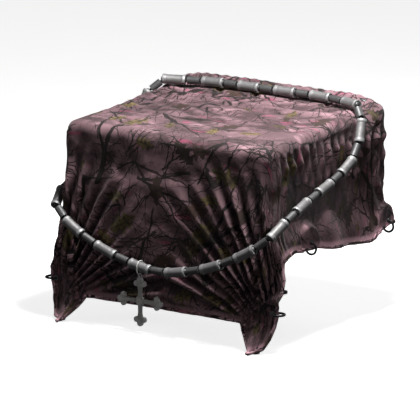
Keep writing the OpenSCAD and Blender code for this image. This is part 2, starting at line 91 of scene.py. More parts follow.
FULL_CREST = 0.011                  # height of a fold whose crest gets the full painted highlight
HEM_BAND = (0.010, 0.022)           # the painted highlight band's full and vanished heights above the hem


def smooth(a, b, x):
    """A soft step, 0 where x is at a and 1 where it is at b."""
    t = np.clip((x - a) / (b - a), 0, 1)
    return t * t * (3 - 2 * t)


def hump(x, centre, width):
    """A rounded bump, 1 at its centre and nearly 0 two widths away."""
    return np.exp(-(((x - centre) / width) ** 2))


def curve(x, *points):
    """A line through (x, value) points, without sharp corners."""
    xs, ys = zip(*points)
    return sum(np.interp(x + d, xs, ys) for d in (-0.008, -0.004, 0, 0.004, 0.008)) / 5


rng = np.random.default_rng(7)
WAVES = [(rng.normal(size=3), rng.uniform(0, TAU)) for _ in range(14)]


def drift(p, size):
    """A smooth random field, about -1 to 1, whose features are about size across."""
    total = 0
    for axis, start in WAVES:
        total = total + np.sin(p @ axis * (3.2 / size) + start)
    return total / 4.5


def islands(obj):
    """The connected pieces of a CAD node's mesh, as arrays of their vertices. One solid
    may come as several, because the mesh is split at its sharp edges."""
    n = len(obj.data.vertices)
    co = np.empty(n * 3)
    obj.data.vertices.foreach_get("co", co)
    co = co.reshape(-1, 3)
    ends = np.empty(len(obj.data.edges) * 2, dtype=np.int64)
    obj.data.edges.foreach_get("vertices", ends)
    a, b = ends.reshape(-1, 2).T
    label = np.arange(n)
    while True:
        low = np.minimum(label[a], label[b])
        new = label.copy()
        np.minimum.at(new, a, low)
        np.minimum.at(new, b, low)
        if (new == label).all():
            break
        label = new
    return [co[label == k] for k in np.unique(label)]


# --- the cover: one sheet, as rings of a grid from the top's middle to the hem ---
COLUMNS = 600
TOP_RINGS, EDGE_RINGS, WALL_RINGS = 34, 7, 74
ON_TOP, ON_EDGE, ON_WALL = 0, 1, 2
PLAN_STEPS = 400                    # points on each stretch of the plan, before even spacing


def plan_path():
    """Points and outward normals round the top's inner outline, closer together at
    the front corners, starting at the middle of the front."""
    w, d = HALF_W - EDGE - CORNER, DEPTH - 2 * EDGE - 2 * CORNER
    y0 = EDGE + CORNER
    legs = [("line", (0, y0), (w, y0), -90), ("arc", (w, y0), -90), ("line", (w, y0), (w, y0 + d), 0),
            ("arc", (w, y0 + d), 0), ("line", (w, y0 + d), (-w, y0 + d), 90), ("arc", (-w, y0 + d), 90),
            ("line", (-w, y0 + d), (-w, y0), 180), ("arc", (-w, y0), 180),
            ("line", (-w, y0), (0, y0), 270)]
    points, angles = [], []
    for leg in legs:
        t = np.linspace(0, 1, PLAN_STEPS, endpoint=False)[:, None]
        if leg[0] == "line":
            centre = np.array(leg[1]) * (1 - t) + np.array(leg[2]) * t
            angle = np.full(PLAN_STEPS, leg[3], float)
        else:
            centre = np.repeat([leg[1]], PLAN_STEPS, axis=0)
            angle = leg[2] + 90 * t[:, 0]
        points.append(centre)
        angles.append(angle)
    centre, angle = np.concatenate(points), np.radians(np.concatenate(angles))
    normal = np.stack([np.cos(angle), np.sin(angle)], axis=1)
    outer = centre + normal * (CORNER + EDGE)
    step = np.linalg.norm(np.roll(outer, -1, axis=0) - outer, axis=1)
    to_corner = np.hypot(abs(outer[:, 0]) - HALF_W, outer[:, 1])
    crowding = 2.2 * hump(to_corner, 0, 0.09)
    weight = step * (1 + crowding)
    along = np.concatenate([[0], np.cumsum(weight)[:-1]])
    want = np.linspace(0, weight.sum(), COLUMNS, endpoint=False)

    def pick(values):
        return np.interp(want, along, values, period=weight.sum())
    angle = np.interp(want, along, np.unwrap(angle))
    normal = np.stack([np.cos(angle), np.sin(angle)], axis=1)
    return np.stack([pick(centre[:, 0]), pick(centre[:, 1])], axis=1) + normal * CORNER, normal, angle


def crown(y):
    """Height of the top along its depth: a gentle rise, the crease and the back lobe."""
    return TOP_Z + curve(y, (0, 0), (0.300, 0.007), (CREASE - 0.015, 0.022), (CREASE + 0.015, 0.023),
                         (CREASE + 0.031, 0.043), (CREASE + 0.045, 0.055), (DEPTH, 0.055))


def shoulder(x, y):
    """How far the back lobe's two ends droop below its crest."""
    return 0.024 * smooth(0.24, 0.40, abs(x)) ** 2 * smooth(CREASE - 0.01, CREASE + 0.05, y)


def spread(y):
    """How far the sides stand outside the front's half width, along the depth."""
    widest = 0.022
    return curve(y, (CREASE - 0.135, 0), (CREASE - 0.075, 0.004), (CREASE + 0.025, widest), (DEPTH, widest))


def side_hem(y):
    """Height of the side hem along the depth, level at the two rings' eyelets."""
    return curve(y, (0, FLAP_TOP), (0.12, 0.288), (0.216, 0.279), (0.250, 0.278), (0.320, 0.262),
                 (0.525, 0.243), (0.600, 0.271), (DEPTH, REAR_HEM + 0.001))


def flap_forward(z):
    """How far a leg flap kicks forward of the front panel."""
    return curve(z, (0, 0.074), (0.025, 0.056), (0.060, 0.026), (0.087, 0.012), (0.140, 0.004),
                 (FLAP_TOP, 0))


def flap_back(z):
    """How far back a leg flap's outer edge reaches."""
    return curve(z, (0, -0.044), (0.040, -0.014), (0.118, -0.003), (0.177, 0.018), (0.225, 0.028),
                 (FLAP_TOP, EDGE))


def flap_out(z):
    """How far a leg flap's outer edge stands out from the side."""
    return curve(z, (0, -0.002), (0.040, 0.014), (0.118, 0.035), (0.177, 0.038), (0.225, 0.038),
                 (FLAP_TOP, FLARE), (0.32, 0.008), (0.392, 0))


# How the columns end at the two edges of a leg flap.
INNER_CUT = 0.020           # width of front hem whose columns end on a flap's inner edge
BOTTOM_ARC = 58.0           # degrees of corner whose columns end on a flap's bottom
TIP_RISE = 0.016            # how far that bottom rises
FLAP_LEAN = 0.066           # how far outwards a flap's inner edge has moved at its tip
REAR_SAG = 0.006


def hem_heights(plan, front_corner, on_front):
    """The height where each column ends."""
    past_inner = np.clip((abs(plan[:, 0]) - FLAP_INNER) / INNER_CUT, 0, 1)
    hem = np.where(on_front, FRONT_HEM * (1 - past_inner), 0)
    outer_edge = (front_corner - BOTTOM_ARC) / (90 - BOTTOM_ARC)
    rise = np.where(front_corner < BOTTOM_ARC, TIP_RISE * front_corner / BOTTOM_ARC,
                    TIP_RISE + (FLAP_TOP - TIP_RISE) * outer_edge)
    hem = np.where(~on_front, np.minimum(rise, FLAP_TOP), hem)
    hem = np.where(front_corner >= 89.99, side_hem(plan[:, 1]), hem)
    sag = REAR_SAG * (1 - abs(2 * smooth(90, 180, front_corner) - 1))
    return np.where(front_corner > 90, side_hem(np.full(COLUMNS, DEPTH)) + sag, hem)


def shape_flaps(x, y, z, plan, front_corner, on_front):
    """A ring of the wall with its leg flaps. Round the front corners the columns crowd
    into the flap and kick forward, and its inner edge leans outwards down to its tip."""
    side_sign, ax = np.sign(plan[:, 0]), abs(plan[:, 0])
    height = np.clip((z - TIP_RISE) / (FLAP_TOP - TIP_RISE), 0, 1)
    span = BOTTOM_ARC + (90 - BOTTOM_ARC) * height
    round_corner = np.radians(np.clip(front_corner / span * 90, 0, 90))
    forward, outward = flap_forward(z), flap_out(z)
    corner = (~on_front) & (front_corner <= 89.99)
    corner_x = HALF_W - EDGE + (EDGE + outward) * np.sin(round_corner)
    corner_y = (flap_back(z) + forward) * (1 - np.cos(round_corner)) - forward
    hollow = 0.013 * hump(round_corner, 0.75, 0.40) * smooth(0.20, 0.06, z)
    x = np.where(corner, side_sign * (corner_x - hollow * 0.6), x)
    y = np.where(corner, corner_y + hollow, y)
    low = np.clip(1 - z / FRONT_HEM, 0, 1)
    edge_x = FLAP_INNER + FLAP_LEAN * low ** 1.3
    first_x = FLAP_INNER + INNER_CUT * low
    last_x = HALF_W - EDGE
    shifted = edge_x + (ax - first_x) * (last_x - edge_x) / (last_x - first_x)
    in_flap = on_front & (ax > FLAP_INNER - 1e-6)
    x = np.where(in_flap, side_sign * np.maximum(shifted, edge_x), x)
    kick = forward * smooth(FLAP_INNER - 0.05, FLAP_INNER + 0.045, ax)
    return x, np.where(on_front, y - kick, y)


def cloth_shape():
    """The sheet's smooth shape: positions, outward directions, flat places, each ring's
    kind, and each column's degrees round a front corner."""
    plan, normal, angle = plan_path()
    middle = np.array([0, DEPTH / 2])
    turn = np.degrees(angle) + 90                        # 0 front, 90 right, 180 rear, 270 left
    front_corner = np.where(turn <= 180, turn, 360 - turn)     # 0 to 90 round either front corner
    on_front = front_corner <= 0.01
    hem = hem_heights(plan, front_corner, on_front)
    pos, out, flat, kind = [], [], [], []
    # Blended plan directions, for the cloth's flat places: what is gathered at the corners.
    reach = 40              # columns on either side that take part
    soft = sum(np.roll(normal, k, axis=0) for k in range(-reach, reach + 1))
    soft /= np.linalg.norm(soft, axis=1)[:, None]
    for k in np.linspace(0.012, 1, TOP_RINGS) ** 0.9:
        p = middle + (plan - middle) * k
        x = p[:, 0] * (1 + spread(p[:, 1]) / HALF_W)
        pos.append(np.stack([x, p[:, 1], crown(p[:, 1]) - shoulder(x, p[:, 1])], axis=1))
        out.append(np.tile([0.0, 0, 1], (COLUMNS, 1)))
        flat.append(p)
        kind.append(ON_TOP)
    for k in range(1, EDGE_RINGS + 1):
        a = math.radians(90 * k / EDGE_RINGS)
        xy = plan + normal * EDGE * math.sin(a)
        x = xy[:, 0] + np.sign(plan[:, 0]) * spread(plan[:, 1])
        z = crown(xy[:, 1]) - shoulder(x, xy[:, 1]) - EDGE * (1 - math.cos(a))
        pos.append(np.stack([x, xy[:, 1], z], axis=1))
        out.append(np.concatenate([normal * math.sin(a), np.full((COLUMNS, 1), math.cos(a))], axis=1))
        flat.append(plan + soft * EDGE * a)
        kind.append(ON_EDGE)
    top = pos[-1][:, 2]
    base_xy = pos[-1][:, :2]
    for k in range(1, WALL_RINGS + 1):
        t = k / WALL_RINGS
        z = top + (hem - top) * t
        x, y = base_xy[:, 0].copy(), base_xy[:, 1].copy()
        flare = FLARE * np.maximum(0, 1 - (z - hem) / FLARE_H) ** 2
        side = np.clip(abs(normal[:, 0]), 0, 1) * (turn > 0)
        rear_part = REAR_FLARE * np.maximum(normal[:, 1], 0)
        amount = flare * np.where(front_corner >= 90, np.maximum(side, rear_part), 0)
        x += normal[:, 0] * amount
        y += normal[:, 1] * amount
        x, y = shape_flaps(x, y, z, plan, front_corner, on_front)
        pos.append(np.stack([x, y, z], axis=1))
        out.append(np.concatenate([normal, np.zeros((COLUMNS, 1))], axis=1))
        flat.append(plan + soft * (EDGE * math.pi / 2 + (top - z))[:, None])
        kind.append(ON_WALL)
    return np.array(pos), np.array(out), np.array(flat), np.array(kind), front_corner


def front_folds(x, z, hem_fade, wander, ripple):
    """Folds that fan out from each foot, round a smooth panel left of the middle."""
    count, curl, depth = 12, 0.10, 0.030
    panel_x = -0.045
    dx, dz = FOOT_X - abs(x), z - FOOT_Z
    r = np.hypot(dx, dz)
    fan = np.arctan2(dz, dx) / (math.pi / 2)
    swing = fan + curl * (r - 0.25) + 0.006 * wander
    phase = TAU * count * np.maximum(swing, 0) ** 1.2
    ridge = 0.5 + 0.5 * np.sin(phase + 0.35 * ripple)
    strength = 0.76 + 0.24 * np.sin(phase * 0.31 + 2.1 * np.sign(x) + 1.0)
    panel = 1 - 0.95 * hump(x, panel_x, 0.18) * smooth(0.16, 0.26, z)
    fade = smooth(0.03, 0.14, r) * (1 - smooth(0.38, 0.61, z)) * panel
    d = fade * strength * hem_fade * depth * (ridge ** 1.15 - 0.45)
    belly = 0.010 * hump(x, panel_x, 0.17) * smooth(0.10, 0.30, z) * smooth(0.595, 0.40, z)
    return d + belly


def corner_gathers(x, y, z, front_corner, hem_fade, wander, ripple):
    """Tight gathers down both sides of the front corners."""
    pitch, depth, corner_run = 0.021, 0.0048, 0.11
    near = hump(np.hypot(abs(x) - HALF_W, np.maximum(y, -0.02)), 0, 0.075)
    before = front_corner[None, :] < 1
    column = front_corner[None, :] / 90 * corner_run + np.where(before, abs(x) - HALF_W, y)
    gather = np.sin(TAU * column / pitch + 2.2 * wander + 1.2 * ripple)
    return near * gather * hem_fade * depth * smooth(0.02, 0.10, z) * (1 - smooth(0.34, 0.56, z))


def side_folds(y, z, wander, ripple):
    """Short pleats under the top edge, a hollow middle, waves above the hem and long
    upright folds on the back lobe."""
    pleat = np.sin(TAU * (y + 0.010 * wander) / 0.041) + 0.5
    pleat_fade = smooth(0.38, 0.52, z) * (1 - 0.85 * smooth(0.55, 0.61, z)) * smooth(0.02, 0.09, y)
    d = 0.0088 * pleat * pleat_fade * (0.6 + 0.4 * ripple)
    d -= 0.009 * hump(z, 0.42, 0.11) * smooth(0.04, 0.15, y) * (1 - smooth(0.45, 0.56, y))
    d += 0.005 * np.sin(TAU * y / 0.17 + 1.0 + wander) * (1 - smooth(0.30, 0.42, z))
    lobe = smooth(0.50, 0.58, y)
    return d + lobe * 0.0036 * np.sin(TAU * (y + 0.02 * wander + 0.06 * (z - 0.4)) / 0.043)


def rear_folds(x, z, wander):
    """Long upright folds, shallower near the top."""
    fade = 0.5 + 0.5 * smooth(0.64, 0.45, z)
    return 0.0062 * fade * np.sin(TAU * (x + 0.03 * wander) / 0.062)


def top_folds(x, y, top, edge, wander, ripple):
    """Fine folds that sweep from beyond the crease's left end, and gathers on both
    sides of the crease."""
    count, depth = 14, 0.0042
    dx, dy = x + 0.85, y - 0.80
    sweep = np.arctan2(-dy, dx) + 0.35 * (np.hypot(dx, dy) - 0.4) + 0.018 * wander
    quiet = smooth(0.06, 0.30, y) * (1 - 0.75 * smooth(0.10, 0.36, x) * (1 - smooth(0.30, 0.5, y)))
    in_front = 1 - smooth(CREASE - 0.02, CREASE + 0.01, y)
    d = (top + 0.2 * edge) * depth * np.sin(TAU * count * sweep + 0.3 * ripple) * quiet * in_front
    before = np.exp(-np.maximum(CREASE - 0.012 - y, 0) / 0.055) * (1 - smooth(CREASE - 0.02, CREASE, y))
    d += top * 0.0012 * before * np.sin(TAU * (x + 0.6 * (CREASE - y) + 0.02 * wander) / 0.044)
    behind = smooth(CREASE + 0.02, CREASE + 0.04, y)
    return d + (top + edge) * 0.0016 * behind * np.sin(TAU * (x + 0.012 * wander) / 0.038)


def folds(pos, out, kind, front_corner):
    """How far each point of the sheet stands out from the smooth shape."""
    x, y, z = pos[..., 0], pos[..., 1], pos[..., 2]
    top, edge, wall = ((kind == k)[:, None] * np.ones_like(x) for k in (ON_TOP, ON_EDGE, ON_WALL))
    front = wall * np.maximum(-out[..., 1], 0) ** 2
    side = wall * out[..., 0] ** 2
    rear = wall * np.maximum(out[..., 1], 0) ** 2
    hem_fade = smooth(0.0, 0.040, z - z[-1]) * 0.85 + 0.15     # folds are shallow just above the hem
    wander = drift(pos, 0.16)
    ripple = drift(pos, 0.07)
    d = front * front_folds(x, z, hem_fade, wander, ripple)
    d += wall * corner_gathers(x, y, z, front_corner, hem_fade, wander, ripple)
    d += side * side_folds(y, z, wander, ripple)
    d += rear * rear_folds(x, z, wander)
    d += top_folds(x, y, top, edge, wander, ripple)
    return d + 0.0022 * wander + 0.0011 * ripple * (wall + 0.5 * edge + 0.2 * top)


def middle_of(points):
    """The middle of the points' box."""
    return (points.min(axis=0) + points.max(axis=0)) / 2


def chain_line():
    """The middles of the barrel links' pieces, in order round the loop."""
    mids = np.array([middle_of(v) for v in islands(NODES["chain_barrels"])])
    turn = np.arctan2(mids[:, 0], -mids[:, 1])
    return mids[np.argsort(turn)]


def distance_to_loop(p, loop):
    """Many points' distances to a closed line of points."""
    best = np.full(len(p), 1e9)
    for a, b in zip(loop, np.roll(loop, -1, axis=0)):
        u = b - a
        t = np.clip((p - a) @ u / (u @ u), 0, 1)
        best = np.minimum(best, np.linalg.norm(p - (a + t[:, None] * u), axis=1))
    return best


def lay_under_chain(p, n):
    """The chain presses a groove down the sides, with the cloth swelling beside it, and
    the cloth stays clear of it everywhere."""
    groove, swell = 0.010, 0.007
    loop = chain_line()
    dist = distance_to_loop(p, loop)
    on_side = smooth(0.40, 0.60, p[:, 1] - FRONT_Y) * abs(n[:, 0])
    p -= n * (groove * hump(dist, 0.030, 0.022) * on_side)[:, None]
    p += n * (swell * hump(dist, 0.072, 0.026) * on_side)[:, None]
    for _ in range(3):
        short = np.maximum(0, CHAIN_CLEARANCE - distance_to_loop(p, loop))
        p -= n * short[:, None] * 1.02


def keep_clear(p, n):
    """The sides stay outside the folded legs, and the hem above the ground."""
    side = abs(n[:, 0]) > 0.9
    p[side, 0] = np.sign(p[side, 0]) * np.maximum(abs(p[side, 0]), HALF_W - LEG_CLEARANCE)
    p[:, 2] = np.maximum(p[:, 2], HEM_RADIUS)


def clamp_at_eyelets(p):
    """The eyelets hold the cloth flat between their flanges. Returns their middles."""
    eyes = []
    for piece in islands(NODES["hem_eyelets"]):
        eye = middle_of(piece)
        axis = np.eye(3)[int(np.argmin(piece.max(axis=0) - piece.min(axis=0)))]
        away = np.linalg.norm(p - eye, axis=1)
        depth = (eye - p) @ axis
        p += axis * (depth * smooth(FREE, CLAMPED, away))[:, None]
        eyes.append(eye)
    return np.array(eyes)


def write_uv(mesh, places):
    """Gives a mesh the UV map "flat", from one place for each of its vertices."""
    layer = mesh.uv_layers.new(name="flat")
    corners = np.empty(len(mesh.loops), dtype=np.int64)
    mesh.loops.foreach_get("vertex_index", corners)
    layer.data.foreach_set("uv", places[corners].ravel())


def add_object(name, verts, faces):
    """A new mesh object in the scene, and its mesh."""
    mesh = bpy.data.meshes.new(name)
    mesh.from_pydata([tuple(v) for v in verts], [], faces)
    obj = bpy.data.objects.new(name, mesh)
    bpy.context.scene.collection.objects.link(obj)
    return obj, mesh


def build_cloth():
    """The cover's sheet, and its grid of points as rings by columns. Its "crest" colour
    holds how far each point stands out on a fold, and how near it is to the hem."""
    pos, out, flat, kind, front_corner = cloth_shape()
    lift = folds(pos, out, kind, front_corner)
    pos = pos + out * lift[..., None]
    pos[..., 1] += FRONT_Y
    rings = len(pos)
    p, n = pos.reshape(-1, 3), out.reshape(-1, 3)
    lay_under_chain(p, n)
    keep_clear(p, n)
    eyes = clamp_at_eyelets(p)
    grid = p.reshape(rings, COLUMNS, 3)
    verts = np.concatenate([p, [grid[0].mean(axis=0)]])
    hub = len(p)
    faces = [(hub, j, (j + 1) % COLUMNS) for j in range(COLUMNS)]
    for i in range(rings - 1):
        a, b = i * COLUMNS, (i + 1) * COLUMNS
        faces += [(a + j, b + j, b + (j + 1) % COLUMNS, a + (j + 1) % COLUMNS) for j in range(COLUMNS)]
    mids = (verts[list(f)].mean(axis=0) for f in faces)
    keep = [f for f, mid in zip(faces, mids) if np.linalg.norm(eyes - mid, axis=1).min() > EYELET_HOLE]
    obj, mesh = add_object("cover_cloth", verts, keep)
    write_uv(mesh, np.concatenate([flat.reshape(-1, 2), [[0, DEPTH / 2]]]))
    # How far each point stands out on a fold: from it the cloth's material paints a highlight on the crests
    # and shade in the hollows.
    crest = np.append(np.clip(0.5 + 0.5 * lift.ravel() / FULL_CREST, 0, 1), 0.5)
    above = np.append((grid[..., 2] - grid[-1, :, 2]).ravel(), 1)
    on_wall = np.append(np.repeat(kind == ON_WALL, COLUMNS), False)
    # A paler band just above the hem, for the cloth's painted highlight there.
    band = smooth(HEM_BAND[1], HEM_BAND[0], above) * on_wall
    shade = mesh.color_attributes.new("crest", "FLOAT_COLOR", "POINT")
    channels = np.stack([crest, band, np.zeros_like(crest), np.ones_like(crest)], axis=1)
    shade.data.foreach_set("color", channels.astype(np.float32).ravel())
    mesh.shade_smooth()
    return obj, grid


def tube_along(name, path, radius):
    """A closed tube that follows a closed path, a little uneven like a rolled hem."""
    sides, across_uv = 10, 0.004
    n = len(path)
    ahead = np.roll(path, -1, axis=0) - np.roll(path, 1, axis=0)
    ahead /= np.linalg.norm(ahead, axis=1)[:, None]
    away = np.cross(ahead, np.tile([0.0, 0, 1], (n, 1)))
    away /= np.maximum(np.linalg.norm(away, axis=1), 1e-6)[:, None]
    up = np.cross(away, ahead)
    size = radius * (1 + 0.10 * drift(path, 0.03))[:, None]
    turns = [TAU * k / sides for k in range(sides)]
    verts = np.stack([path + (away * math.cos(a) + up * math.sin(a)) * size for a in turns], axis=1)
    faces = []
    for i in range(n):
        for k in range(sides):
            a, b = i * sides, ((i + 1) % n) * sides
            faces.append((a + k, b + k, b + (k + 1) % sides, a + (k + 1) % sides))
    obj, mesh = add_object(name, verts.reshape(-1, 3), faces)
    along = np.concatenate([[0], np.cumsum(np.linalg.norm(np.diff(path, axis=0), axis=1))])
    places = np.stack([np.repeat(along, sides), np.tile(np.arange(sides) * across_uv, n)], axis=1)
    write_uv(mesh, places)
    mesh.shade_smooth()
    return obj


# --- materials ---
class Net:
    """A material's node tree, with short names for the nodes that it uses."""

    def __init__(self, name, slot):
        self.mat = bpy.data.materials.new(name)
        self.mat.use_nodes = True
        self.slot = slot
        self.tree = self.mat.node_tree
        self.bsdf = self.tree.nodes["Principled BSDF"]

    def add(self, kind, **settings):
        node = self.tree.nodes.new(kind)
        for key, value in settings.items():
            setattr(node, key, value)
        return node

    def link(self, source, node, socket):
        self.tree.links.new(source, node.inputs[socket])

    def put(self, node, socket, value):
        if isinstance(value, bpy.types.NodeSocket):
            self.link(value, node, socket)
        else:
            node.inputs[socket].default_value = value

    def math(self, kind, a, b=0.5, c=0.5, clamp=False):
        node = self.add("ShaderNodeMath", operation=kind, use_clamp=clamp)
        for k, value in enumerate((a, b, c)):
            self.put(node, k, value)
        return node.outputs[0]

    def vmath(self, kind, a, b=(0, 0, 0)):
        node = self.add("ShaderNodeVectorMath", operation=kind)
        self.put(node, 0, a)
        self.put(node, 1, b)
        return node.outputs[0]

    def ramp(self, value, low, high, a=0.0, b=1.0):
        node = self.add("ShaderNodeMapRange", interpolation_type="SMOOTHSTEP")
        for k, v in enumerate((value, low, high, a, b)):
            self.put(node, k, v)
        return node.outputs[0]

    def mix(self, factor, a, b, how="MIX"):
        node = self.add("ShaderNodeMix", data_type="RGBA", blend_type=how)
        self.put(node, 0, factor)
        self.put(node, 6, a)
        self.put(node, 7, b)
        return node.outputs[2]

    def noise(self, vector, scale, detail=3.0, rough=0.55):
        node = self.add("ShaderNodeTexNoise")
        self.put(node, "Vector", vector)
        self.put(node, "Scale", scale)
        self.put(node, "Detail", detail)
        self.put(node, "Roughness", rough)
        return node.outputs[0]

    def voronoi(self, vector, scale, random=1.0):
        node = self.add("ShaderNodeTexVoronoi")
        self.put(node, "Vector", vector)
        self.put(node, "Scale", scale)
        self.put(node, "Randomness", random)
        return node

    def place(self, vector, move=(0, 0, 0), turn=0.0, stretch=(1, 1, 1)):
        node = self.add("ShaderNodeMapping")
        self.put(node, "Vector", vector)
        node.inputs["Location"].default_value = move
        node.inputs["Rotation"].default_value = (0, 0, turn)
        node.inputs["Scale"].default_value = stretch
        return node.outputs[0]

    def warp(self, vector, scale, amount):
        """The vector, pushed about by noise."""
        node = self.add("ShaderNodeTexNoise")
        self.put(node, "Vector", vector)
        self.put(node, "Scale", scale)
        self.put(node, "Detail", 3.0)
        centred = self.vmath("SUBTRACT", node.outputs["Color"], (0.5, 0.5, 0.5))
        scaled = self.add("ShaderNodeVectorMath", operation="SCALE")
        self.link(centred, scaled, 0)
        scaled.inputs["Scale"].default_value = amount
        return self.vmath("ADD", vector, scaled.outputs[0])

    def bump(self, height, strength, distance, under=None):
        node = self.add("ShaderNodeBump")
        self.put(node, "Height", height)
        self.put(node, "Strength", strength)
        self.put(node, "Distance", distance)
        if under is not None:
            self.link(under, node, "Normal")
        return node.outputs[0]

    def finish(self, color, rough, normal=None, **shader):
        self.put(self.bsdf, "Base Color", color)
        self.put(self.bsdf, "Roughness", rough)
        if normal is not None:
            self.link(normal, self.bsdf, "Normal")
        for key, value in shader.items():
            self.bsdf.inputs[key.replace("_", " ")].default_value = value
        return self.mat, self.slot


def rgb(*screen):
    """A shader colour from screen values of 0 to 255."""
    def linear(v):
        return ((v / 255 + 0.055) / 1.055) ** 2.4 if v > 10 else v / 255 / 12.92
    return tuple(linear(v) for v in screen) + (1,)


def scaled(color, factor):
    """A shader colour, lighter or darker."""
    return tuple(v * factor for v in color[:3]) + (1,)


def split(net, vector, k):
    """One of a vector's three values."""
    node = net.add("ShaderNodeSeparateXYZ")
    net.link(vector, node, 0)
    return node.outputs[k]


def scatter(net, place, scale, move, random):
    """Scattered places: each point's own turned coordinates round the nearest of them,
    and that place's random numbers."""
    moved = net.place(place, move=move)
    cells = net.voronoi(moved, scale, random)
    local = net.vmath("SUBTRACT", moved, cells.outputs["Position"])
    chance = net.add("ShaderNodeSeparateColor")
    net.link(cells.outputs["Color"], chance, 0)
    spin = net.add("ShaderNodeVectorRotate", rotation_type="Z_AXIS")
    net.link(local, spin, "Vector")
    net.link(net.math("MULTIPLY", chance.outputs[0], TAU), spin, "Angle")
    turned = spin.outputs[0]
    return split(net, turned, 0), split(net, turned, 1), chance.outputs


def shown_share(net, value, share):
    """1 for about a share of the random values, and 0 for the others."""
    return net.ramp(value, 1 - share, 1.01 - share)


def leaf_layer(net, place, scale, move, length, width, lobes, share):
    """Scattered leaves: a mask, each leaf's own random number, and its vein."""
    along, across, chance = scatter(net, place, scale, move, 0.75)
    u = net.math("DIVIDE", along, length)
    body = net.math("SUBTRACT", 1.0, net.math("MULTIPLY", u, u), clamp=True)
    notch = net.math("SINE", net.math("MULTIPLY", u, lobes))
    shape = net.math("MULTIPLY", body, net.math("ADD", 0.74, net.math("MULTIPLY", notch, 0.26)))
    v = net.math("DIVIDE", net.math("ABSOLUTE", across), width)
    inside = net.ramp(net.math("SUBTRACT", shape, v), 0.0, 0.08)
    vein = net.ramp(v, 0.03, 0.10, 1.0, 0.0)
    return net.math("MULTIPLY", inside, shown_share(net, chance[1], share)), chance[2], vein


def stick_layer(net, crooked, scale, move, length, width, share):
    """Scattered thin sticks, each with forks."""
    forks = ((0.0, -1.0), (0.62, -0.55), (-0.70, -0.10), (0.45, 0.35))   # lean, and start along the stick
    u, v, chance = scatter(net, crooked, scale, move, 1.0)
    taper = net.ramp(u, -length, length, width, width * 0.18)
    within = net.math("LESS_THAN", net.math("ABSOLUTE", u), length)
    total = None
    for lean, start in forks:
        beyond = net.math("MAXIMUM", net.math("SUBTRACT", u, start * length), 0.0)
        off = net.math("ABSOLUTE", net.math("SUBTRACT", v, net.math("MULTIPLY", beyond, lean)))
        line = net.ramp(net.math("DIVIDE", off, taper), 0.75, 1.0, 1.0, 0.0)
        line = net.math("MULTIPLY", line, within)
        total = line if total is None else net.math("MAXIMUM", total, line)
    return net.math("MULTIPLY", total, shown_share(net, chance[1], share))


def branch_layer(net, bent, place, scale, move, turn, stretch, width, gap):
    """Long crooked branches, thick in places, along the level lines of a noise."""
    moved = net.place(bent, move=move, turn=turn, stretch=stretch)
    level = net.math("ABSOLUTE", net.math("SUBTRACT", net.noise(moved, scale, 0.0), 0.5))
    taper = net.ramp(net.noise(net.place(place, move=move), 4.5, 1.0), 0.36, 0.62, 0.12, 1.0)
    line = net.ramp(net.math("DIVIDE", level, net.math("MULTIPLY", taper, width)), 0.7, 1.0, 1.0, 0.0)
    elsewhere = net.place(place, move=(move[1], move[0], 2))
    shown = net.ramp(net.noise(elsewhere, 3.4, 1.0), gap, gap + 0.05)
    return net.math("MULTIPLY", line, shown)


# The print's layers. Sticks: scale, shift, half length, half width, share shown.
STICKS = [
    (2.4, (5.1, 7.2, 0), 0.230, 0.0100, 0.95),
    (3.4, (0.3, 0.1, 0), 0.170, 0.0074, 0.85),
    (4.8, (7.7, 3.6, 0), 0.120, 0.0052, 0.70),
    (6.5, (3.3, 2.4, 0), 0.095, 0.0038, 0.65),
    (8.5, (6.4, 4.3, 0), 0.075, 0.0030, 0.65),
    (11.0, (4.2, 2.9, 0), 0.060, 0.0024, 0.65),
    (15.0, (8.5, 5.1, 0), 0.045, 0.0020, 0.65),
]
# Branches: scale, shift, turn, stretch, width, and the level under which they are gone.
BRANCHES = [
    (5.0, (6.1, 3.3, 0), -1.0, (1.0, 0.28, 1), 0.0090, 0.45),
    (6.5, (9.4, 1.2, 0), 1.5, (1.0, 0.35, 1), 0.0075, 0.45),
    (8.0, (3.7, 8.2, 0), 0.3, (1.0, 0.40, 1), 0.0040, 0.43),
]
# Leaves: scale, shift, half length, half width, waves per metre, share shown, colours.
LEAVES = [
    (4.6, (0.0, 0.0, 0), 0.058, 0.036, 200.0, 0.42, rgb(120, 106, 62), rgb(76, 66, 42)),
    (5.6, (5.3, 1.9, 0), 0.050, 0.030, 260.0, 0.45, rgb(84, 58, 52), rgb(40, 31, 29)),
    (6.6, (2.1, 7.7, 0), 0.038, 0.023, 330.0, 0.35, rgb(132, 114, 70), rgb(84, 72, 46)),
]
# The last colour is a painted highlight for the folds' crests.
SMUDGE, MAGENTA, PAINTED_CREST_HIGHLIGHT = rgb(70, 52, 55), rgb(178, 74, 112), rgb(196, 156, 164)
BARK_DARK, BARK_LIGHT = rgb(12, 9, 9), rgb(40, 30, 28)
LEAF_VEIN, LEAF_SPOT = rgb(40, 32, 26), rgb(52, 42, 32)
# The first colour is painted shade for the fold hollows.
# The second colour is a painted highlight for the band just above the hem.
PAINTED_HOLLOW_SHADE, PAINTED_HEM_HIGHLIGHT, FUZZ = rgb(30, 22, 24), rgb(222, 176, 188), rgb(60, 44, 48)
THREAD = 0.0016             # the weave's repeat


